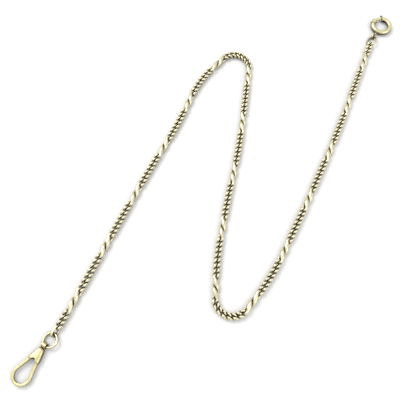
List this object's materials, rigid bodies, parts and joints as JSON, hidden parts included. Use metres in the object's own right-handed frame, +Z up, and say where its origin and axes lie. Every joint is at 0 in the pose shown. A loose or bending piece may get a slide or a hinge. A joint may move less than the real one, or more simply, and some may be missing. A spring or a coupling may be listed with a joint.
{
  "type": "pocket watch chain",
  "caption": "Pocket watch chain of short curb links with long twisted links between them, a sprung dog clip on a swivel at one end and a bolt ring at the other.",
  "frame": {"origin": "middle of the chain as it lies, at the level it lies on", "axes": "+Z up from the surface, +Y away from the viewer along the chain's three legs, +X to the right"},
  "size_m": [0.143, 0.1484, 0.0026],
  "materials": {
    "twisted_links": "polished pale gold",
    "curb_links": "polished pale gold, darkened in the gaps",
    "plain_rings": "polished pale gold",
    "clip": "satin gold, darkened with age",
    "swivel": "satin reddish gold",
    "bolt_ring": "polished yellow gold",
    "spring_wire": "plain spring steel"
  },
  "bodies": {
    "clip_end_links": {"clip_end_links": "curb_links"},
    "long_link_01": {"long_link_01": "twisted_links"},
    "curb_run_01": {"curb_run_01": "curb_links"},
    "long_link_02": {"long_link_02": "twisted_links"},
    "curb_run_02": {"curb_run_02": "curb_links"},
    "long_link_03": {"long_link_03": "twisted_links"},
    "curb_run_03": {"curb_run_03": "curb_links"},
    "long_link_04": {"long_link_04": "twisted_links"},
    "curb_run_04": {"curb_run_04": "curb_links"},
    "long_link_05": {"long_link_05": "twisted_links"},
    "curb_run_05": {"curb_run_05": "curb_links"},
    "long_link_06": {"long_link_06": "twisted_links"},
    "upper_bend_link_1": {"upper_bend_link_1": "curb_links"},
    "upper_bend_link_2": {"upper_bend_link_2": "curb_links"},
    "upper_bend_link_3": {"upper_bend_link_3": "curb_links"},
    "upper_bend_link_4": {"upper_bend_link_4": "curb_links"},
    "upper_bend_link_5": {"upper_bend_link_5": "curb_links"},
    "upper_bend_link_6": {"upper_bend_link_6": "curb_links"},
    "upper_bend_link_7": {"upper_bend_link_7": "curb_links"},
    "long_link_07": {"long_link_07": "twisted_links"},
    "curb_run_07": {"curb_run_07": "curb_links"},
    "long_link_08": {"long_link_08": "twisted_links"},
    "curb_run_08": {"curb_run_08": "curb_links"},
    "long_link_09": {"long_link_09": "twisted_links"},
    "curb_run_09": {"curb_run_09": "curb_links"},
    "long_link_10": {"long_link_10": "twisted_links"},
    "curb_run_10": {"curb_run_10": "curb_links"},
    "long_link_11": {"long_link_11": "twisted_links"},
    "lower_bend_link_1": {"lower_bend_link_1": "curb_links"},
    "lower_bend_link_2": {"lower_bend_link_2": "curb_links"},
    "lower_bend_link_3": {"lower_bend_link_3": "curb_links"},
    "lower_bend_link_4": {"lower_bend_link_4": "curb_links"},
    "lower_bend_link_5": {"lower_bend_link_5": "curb_links"},
    "lower_bend_link_6": {"lower_bend_link_6": "curb_links"},
    "lower_bend_link_7": {"lower_bend_link_7": "curb_links"},
    "long_link_12": {"long_link_12": "twisted_links"},
    "curb_run_12": {"curb_run_12": "curb_links"},
    "long_link_13": {"long_link_13": "twisted_links"},
    "curb_run_13": {"curb_run_13": "curb_links"},
    "long_link_14": {"long_link_14": "twisted_links"},
    "curb_run_14": {"curb_run_14": "curb_links"},
    "long_link_15": {"long_link_15": "twisted_links"},
    "curb_run_15": {"curb_run_15": "curb_links"},
    "long_link_16": {"long_link_16": "twisted_links"},
    "curb_run_16": {"curb_run_16": "curb_links"},
    "long_link_17": {"long_link_17": "twisted_links"},
    "bolt_end_links": {"bolt_end_links": "curb_links"},
    "clip_ring": {"clip_ring": "plain_rings"},
    "swivel_eye": {"swivel_eye": "swivel"},
    "clip": {"collar": "clip", "hook": "clip", "clip_pins": "clip", "gate_spring": "spring_wire"},
    "gate": {"gate": "clip"},
    "oval_ring": {"oval_ring": "plain_rings"},
    "bolt_ring": {"bolt_tube": "bolt_ring", "ring_eye": "bolt_ring", "bolt_spring": "spring_wire"},
    "bolt": {"sliding_bolt": "bolt_ring", "thumb_pin": "bolt_ring"}
  },
  "joints": [
    {"name": "bolt_slide", "type": "hinge", "parent": "bolt_ring", "child": "bolt", "pos_m": [0.06707, 0.06897, 0.0013], "axis": [0, 0, -1], "range_deg": [0, 45], "stiffness_Nm_per_rad": 0.001, "springref_deg": -17.19, "deforming": ["bolt_spring"]},
    {"name": "bolt_ring_swing", "type": "hinge", "parent": "oval_ring", "child": "bolt_ring", "pos_m": [0.06314, 0.06355, 0.0013], "axis": [0.6935, -0.5038, 0.515], "range_deg": [-60, 60]},
    {"name": "bolt_oval_turn", "type": "hinge", "parent": "bolt_end_links", "child": "oval_ring", "pos_m": [0.06151, 0.05981, 0.0013], "axis": [0, 0, 1], "range_deg": [-15, 15]},
    {"name": "clip_gate", "type": "hinge", "parent": "clip", "child": "gate", "pos_m": [-0.06498, -0.06449, 0.0013], "axis": [0, 0, 1], "range_deg": [0, 25], "stiffness_Nm_per_rad": 0.001, "springref_deg": -17.19},
    {"name": "clip_ring_turn", "type": "hinge", "parent": "clip_end_links", "child": "clip_ring", "pos_m": [-0.0589, -0.05778, 0.0013], "axis": [0, 0, 1], "range_deg": [-15, 15]},
    {"name": "clip_eye_swing", "type": "hinge", "parent": "clip_ring", "child": "swivel_eye", "pos_m": [-0.06145, -0.06116, 0.0013], "axis": [-0.8061, 0.554, -0.2079], "range_deg": [-60, 60]},
    {"name": "clip_swivel", "type": "hinge", "parent": "swivel_eye", "child": "clip", "pos_m": [-0.06145, -0.06116, 0.0013], "axis": [-0.5664, -0.8241, 0], "continuous": true},
    {"name": "link_01_turn", "type": "hinge", "parent": "long_link_01", "child": "clip_end_links", "pos_m": [-0.05491, -0.05028, 0.0013], "axis": [0, 0, -1], "range_deg": [-19.3, 16.7]},
    {"name": "link_02_turn", "type": "hinge", "parent": "curb_run_01", "child": "long_link_01", "pos_m": [-0.05105, -0.0426, 0.0013], "axis": [0, 0, 1], "range_deg": [-17.91, 18.09]},
    {"name": "link_03_turn", "type": "hinge", "parent": "long_link_02", "child": "curb_run_01", "pos_m": [-0.04515, -0.03068, 0.0013], "axis": [0, 0, 1], "range_deg": [-17.91, 18.09]},
    {"name": "link_04_turn", "type": "hinge", "parent": "curb_run_02", "child": "long_link_02", "pos_m": [-0.04138, -0.02295, 0.0013], "axis": [0, 0, -1], "range_deg": [-17.93, 18.07]},
    {"name": "link_05_turn", "type": "hinge", "parent": "long_link_03", "child": "curb_run_02", "pos_m": [-0.03548, -0.01103, 0.0013], "axis": [0, 0, -1], "range_deg": [-17.93, 18.07]},
    {"name": "link_06_turn", "type": "hinge", "parent": "curb_run_03", "child": "long_link_03", "pos_m": [-0.03163, -0.00334, 0.0013], "axis": [0, 0, 1], "range_deg": [-18.23, 17.77]},
    {"name": "link_07_turn", "type": "hinge", "parent": "long_link_04", "child": "curb_run_03", "pos_m": [-0.02549, 0.00846, 0.0013], "axis": [0, 0, 1], "range_deg": [-18.23, 17.77]},
    {"name": "link_08_turn", "type": "hinge", "parent": "curb_run_04", "child": "long_link_04", "pos_m": [-0.0214, 0.01602, 0.0013], "axis": [0, 0, -1], "range_deg": [-18.7, 17.3]},
    {"name": "link_09_turn", "type": "hinge", "parent": "long_link_05", "child": "curb_run_04", "pos_m": [-0.01566, 0.02801, 0.0013], "axis": [0, 0, -1], "range_deg": [-18.7, 17.3]},
    {"name": "link_10_turn", "type": "hinge", "parent": "curb_run_05", "child": "long_link_05", "pos_m": [-0.01232, 0.03594, 0.0013], "axis": [0, 0, 1], "range_deg": [-20.59, 15.41]},
    {"name": "link_11_turn", "type": "hinge", "parent": "long_link_06", "child": "curb_run_05", "pos_m": [-0.00508, 0.04703, 0.0013], "axis": [0, 0, 1], "range_deg": [-20.59, 15.41]},
    {"name": "link_12_turn", "type": "hinge", "parent": "upper_bend_link_1", "child": "long_link_06", "pos_m": [0.00084, 0.05327, 0.0013], "axis": [0, 0, -1], "range_deg": [-0.5, 36.5]},
    {"name": "link_13_turn", "type": "hinge", "parent": "upper_bend_link_2", "child": "upper_bend_link_1", "pos_m": [0.00251, 0.05418, 0.0013], "axis": [0, 0, -1], "range_deg": [-0.5, 36.5]},
    {"name": "link_14_turn", "type": "hinge", "parent": "upper_bend_link_3", "child": "upper_bend_link_2", "pos_m": [0.00438, 0.05452, 0.0013], "axis": [0, 0, -1], "range_deg": [-0.5, 36.5]},
    {"name": "link_15_turn", "type": "hinge", "parent": "upper_bend_link_4", "child": "upper_bend_link_3", "pos_m": [0.00626, 0.05427, 0.0013], "axis": [0, 0, -1], "range_deg": [-0.5, 36.5]},
    {"name": "link_16_turn", "type": "hinge", "parent": "upper_bend_link_5", "child": "upper_bend_link_4", "pos_m": [0.00798, 0.05346, 0.0013], "axis": [0, 0, -1], "range_deg": [-0.5, 36.5]},
    {"name": "link_17_turn", "type": "hinge", "parent": "upper_bend_link_6", "child": "upper_bend_link_5", "pos_m": [0.00935, 0.05215, 0.0013], "axis": [0, 0, -1], "range_deg": [-0.5, 36.5]},
    {"name": "link_18_turn", "type": "hinge", "parent": "upper_bend_link_7", "child": "upper_bend_link_6", "pos_m": [0.01026, 0.05048, 0.0013], "axis": [0, 0, -1], "range_deg": [-0.5, 36.5]},
    {"name": "link_19_turn", "type": "hinge", "parent": "long_link_07", "child": "upper_bend_link_7", "pos_m": [0.01061, 0.04861, 0.0013], "axis": [0, 0, -1], "range_deg": [-0.5, 36.5]},
    {"name": "link_20_turn", "type": "hinge", "parent": "curb_run_07", "child": "long_link_07", "pos_m": [0.00948, 0.04008, 0.0013], "axis": [0, 0, -1], "range_deg": [-17.91, 18.09]},
    {"name": "link_21_turn", "type": "hinge", "parent": "long_link_08", "child": "curb_run_07", "pos_m": [0.00767, 0.02691, 0.0013], "axis": [0, 0, -1], "range_deg": [-17.91, 18.09]},
    {"name": "link_22_turn", "type": "hinge", "parent": "curb_run_08", "child": "long_link_08", "pos_m": [0.00644, 0.0184, 0.0013], "axis": [0, 0, 1], "range_deg": [-18.57, 17.43]},
    {"name": "link_23_turn", "type": "hinge", "parent": "long_link_09", "child": "curb_run_08", "pos_m": [0.00402, 0.00532, 0.0013], "axis": [0, 0, 1], "range_deg": [-18.57, 17.43]},
    {"name": "link_24_turn", "type": "hinge", "parent": "long_link_09", "child": "curb_run_09", "pos_m": [0.00211, -0.00306, 0.0013], "axis": [0, 0, 1], "range_deg": [-18.25, 17.75]},
    {"name": "link_25_turn", "type": "hinge", "parent": "curb_run_09", "child": "long_link_10", "pos_m": [-0.00061, -0.01608, 0.0013], "axis": [0, 0, 1], "range_deg": [-18.25, 17.75]},
    {"name": "link_26_turn", "type": "hinge", "parent": "long_link_10", "child": "curb_run_10", "pos_m": [-0.00222, -0.02453, 0.0013], "axis": [0, 0, -1], "range_deg": [-17.06, 18.94]},
    {"name": "link_27_turn", "type": "hinge", "parent": "curb_run_10", "child": "long_link_11", "pos_m": [-0.00385, -0.03772, 0.0013], "axis": [0, 0, -1], "range_deg": [-17.06, 18.94]},
    {"name": "link_28_turn", "type": "hinge", "parent": "long_link_11", "child": "lower_bend_link_1", "pos_m": [-0.00435, -0.04631, 0.0013], "axis": [0, 0, -1], "range_deg": [-0.51, 36.49]},
    {"name": "link_29_turn", "type": "hinge", "parent": "lower_bend_link_1", "child": "lower_bend_link_2", "pos_m": [-0.00386, -0.04815, 0.0013], "axis": [0, 0, -1], "range_deg": [-0.51, 36.49]},
    {"name": "link_30_turn", "type": "hinge", "parent": "lower_bend_link_2", "child": "lower_bend_link_3", "pos_m": [-0.00284, -0.04975, 0.0013], "axis": [0, 0, -1], "range_deg": [-0.51, 36.49]},
    {"name": "link_31_turn", "type": "hinge", "parent": "lower_bend_link_3", "child": "lower_bend_link_4", "pos_m": [-0.00137, -0.05095, 0.0013], "axis": [0, 0, -1], "range_deg": [-0.51, 36.49]},
    {"name": "link_32_turn", "type": "hinge", "parent": "lower_bend_link_4", "child": "lower_bend_link_5", "pos_m": [0.0004, -0.05164, 0.0013], "axis": [0, 0, -1], "range_deg": [-0.51, 36.49]},
    {"name": "link_33_turn", "type": "hinge", "parent": "lower_bend_link_5", "child": "lower_bend_link_6", "pos_m": [0.0023, -0.05175, 0.0013], "axis": [0, 0, -1], "range_deg": [-0.51, 36.49]},
    {"name": "link_34_turn", "type": "hinge", "parent": "lower_bend_link_6", "child": "lower_bend_link_7", "pos_m": [0.00414, -0.05127, 0.0013], "axis": [0, 0, -1], "range_deg": [-0.51, 36.49]},
    {"name": "link_35_turn", "type": "hinge", "parent": "lower_bend_link_7", "child": "long_link_12", "pos_m": [0.00574, -0.05025, 0.0013], "axis": [0, 0, -1], "range_deg": [-0.51, 36.49]},
    {"name": "link_36_turn", "type": "hinge", "parent": "long_link_12", "child": "curb_run_12", "pos_m": [0.0112, -0.0436, 0.0013], "axis": [0, 0, 1], "range_deg": [-19.46, 16.54]},
    {"name": "link_37_turn", "type": "hinge", "parent": "curb_run_12", "child": "long_link_13", "pos_m": [0.01854, -0.03253, 0.0013], "axis": [0, 0, 1], "range_deg": [-19.46, 16.54]},
    {"name": "link_38_turn", "type": "hinge", "parent": "long_link_13", "child": "curb_run_13", "pos_m": [0.02253, -0.02492, 0.0013], "axis": [0, 0, -1], "range_deg": [-17.84, 18.16]},
    {"name": "link_39_turn", "type": "hinge", "parent": "curb_run_13", "child": "long_link_14", "pos_m": [0.02858, -0.01308, 0.0013], "axis": [0, 0, -1], "range_deg": [-17.84, 18.16]},
    {"name": "link_40_turn", "type": "hinge", "parent": "long_link_14", "child": "curb_run_14", "pos_m": [0.03241, -0.00537, 0.0013], "axis": [0, 0, 1], "range_deg": [-18.12, 17.88]},
    {"name": "link_41_turn", "type": "hinge", "parent": "curb_run_14", "child": "long_link_15", "pos_m": [0.03822, 0.00659, 0.0013], "axis": [0, 0, 1], "range_deg": [-18.12, 17.88]},
    {"name": "link_42_turn", "type": "hinge", "parent": "long_link_15", "child": "curb_run_15", "pos_m": [0.0419, 0.01436, 0.0013], "axis": [0, 0, -1], "range_deg": [-17.69, 18.31]},
    {"name": "link_43_turn", "type": "hinge", "parent": "curb_run_15", "child": "long_link_16", "pos_m": [0.04735, 0.0265, 0.0013], "axis": [0, 0, -1], "range_deg": [-17.69, 18.31]},
    {"name": "link_44_turn", "type": "hinge", "parent": "long_link_16", "child": "curb_run_16", "pos_m": [0.05069, 0.03442, 0.0013], "axis": [0, 0, 1], "range_deg": [-17.99, 18.01]},
    {"name": "link_45_turn", "type": "hinge", "parent": "curb_run_16", "child": "long_link_17", "pos_m": [0.05588, 0.04666, 0.0013], "axis": [0, 0, 1], "range_deg": [-17.99, 18.01]},
    {"name": "link_46_turn", "type": "hinge", "parent": "long_link_17", "child": "bolt_end_links", "pos_m": [0.05924, 0.05458, 0.0013], "axis": [0, 0, -1], "range_deg": [-18.5, 17.5]}
  ]
}
